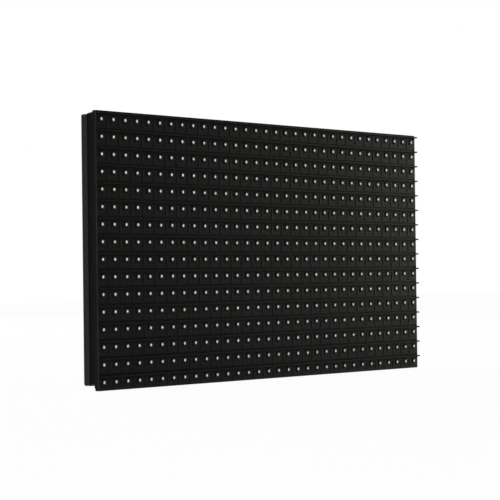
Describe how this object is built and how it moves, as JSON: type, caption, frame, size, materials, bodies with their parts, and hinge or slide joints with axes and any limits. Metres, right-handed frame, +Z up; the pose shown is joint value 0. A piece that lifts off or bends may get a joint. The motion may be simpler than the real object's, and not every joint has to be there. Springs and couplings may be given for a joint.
{
  "type": "led dot matrix",
  "caption": "Louvred outdoor LED dot matrix module with square pitch lamps, open-backed housing, signal and power connectors and tapped fixing inserts.",
  "frame": {"origin": "centre of the pattern of fixing inserts, on the rear plane of the housing", "axes": "+X to the right as seen from the front, along the lamp rows; +Y to the rear, out of the inserts; +Z up, so the face looks along -Y"},
  "size_m": [0.3196, 0.0218, 0.1596],
  "materials": {
    "mask_plastic": "fine matt moulded polycarbonate, near black",
    "lamp_body": "matt black moulded lamp housing",
    "lamp_window": "milky diffused resin",
    "sealant": "satin poured silicone",
    "board": "glass-epoxy board under solder mask",
    "housing_plastic": "satin moulded polycarbonate",
    "gasket_rubber": "matt extruded silicone rubber",
    "insert_brass": "turned and knurled brass",
    "pin_plastic": "smooth moulded nylon",
    "screw_steel": "zinc-plated steel",
    "header_plastic": "satin moulded polyester",
    "gold_contact": "gold-flashed square posts",
    "connector_nylon": "natural moulded nylon",
    "tin_contact": "tin-plated copper alloy",
    "chip_body": "matt moulded epoxy",
    "can_aluminium": "drawn aluminium can",
    "ceramic_body": "fired ceramic"
  },
  "bodies": {
    "root": {"front_mask": "mask_plastic", "lamp_row_01": "lamp_body", "lamp_row_02": "lamp_body", "lamp_row_03": "lamp_body", "lamp_row_04": "lamp_body", "lamp_row_05": "lamp_body", "lamp_row_06": "lamp_body", "lamp_row_07": "lamp_body", "lamp_row_08": "lamp_body", "lamp_row_09": "lamp_body", "lamp_row_10": "lamp_body", "lamp_row_11": "lamp_body", "lamp_row_12": "lamp_body", "lamp_row_13": "lamp_body", "lamp_row_14": "lamp_body", "lamp_row_15": "lamp_body", "lamp_row_16": "lamp_body", "window_row_01": "lamp_window", "window_row_02": "lamp_window", "window_row_03": "lamp_window", "window_row_04": "lamp_window", "window_row_05": "lamp_window", "window_row_06": "lamp_window", "window_row_07": "lamp_window", "window_row_08": "lamp_window", "window_row_09": "lamp_window", "window_row_10": "lamp_window", "window_row_11": "lamp_window", "window_row_12": "lamp_window", "window_row_13": "lamp_window", "window_row_14": "lamp_window", "window_row_15": "lamp_window", "window_row_16": "lamp_window", "sealant_layer": "sealant", "circuit_board": "board", "housing_long_walls": "housing_plastic", "housing_end_walls": "housing_plastic", "housing_ribs": "housing_plastic", "housing_bosses": "housing_plastic", "sealing_gasket": "gasket_rubber", "fixing_inserts": "insert_brass", "locating_pins": "pin_plastic", "mask_screws": "screw_steel", "input_header": "header_plastic", "input_header_pins": "gold_contact", "output_header": "header_plastic", "output_header_pins": "gold_contact", "power_connector": "connector_nylon", "power_connector_pins": "tin_contact", "driver_chips": "chip_body", "driver_chip_leads": "tin_contact", "logic_chips": "chip_body", "logic_chip_leads": "tin_contact", "row_switches": "chip_body", "row_switch_leads": "tin_contact", "capacitor_cans": "can_aluminium", "capacitor_bases": "header_plastic", "ceramic_capacitors": "ceramic_body", "resistor_arrays": "chip_body"}
  },
  "joints": []
}
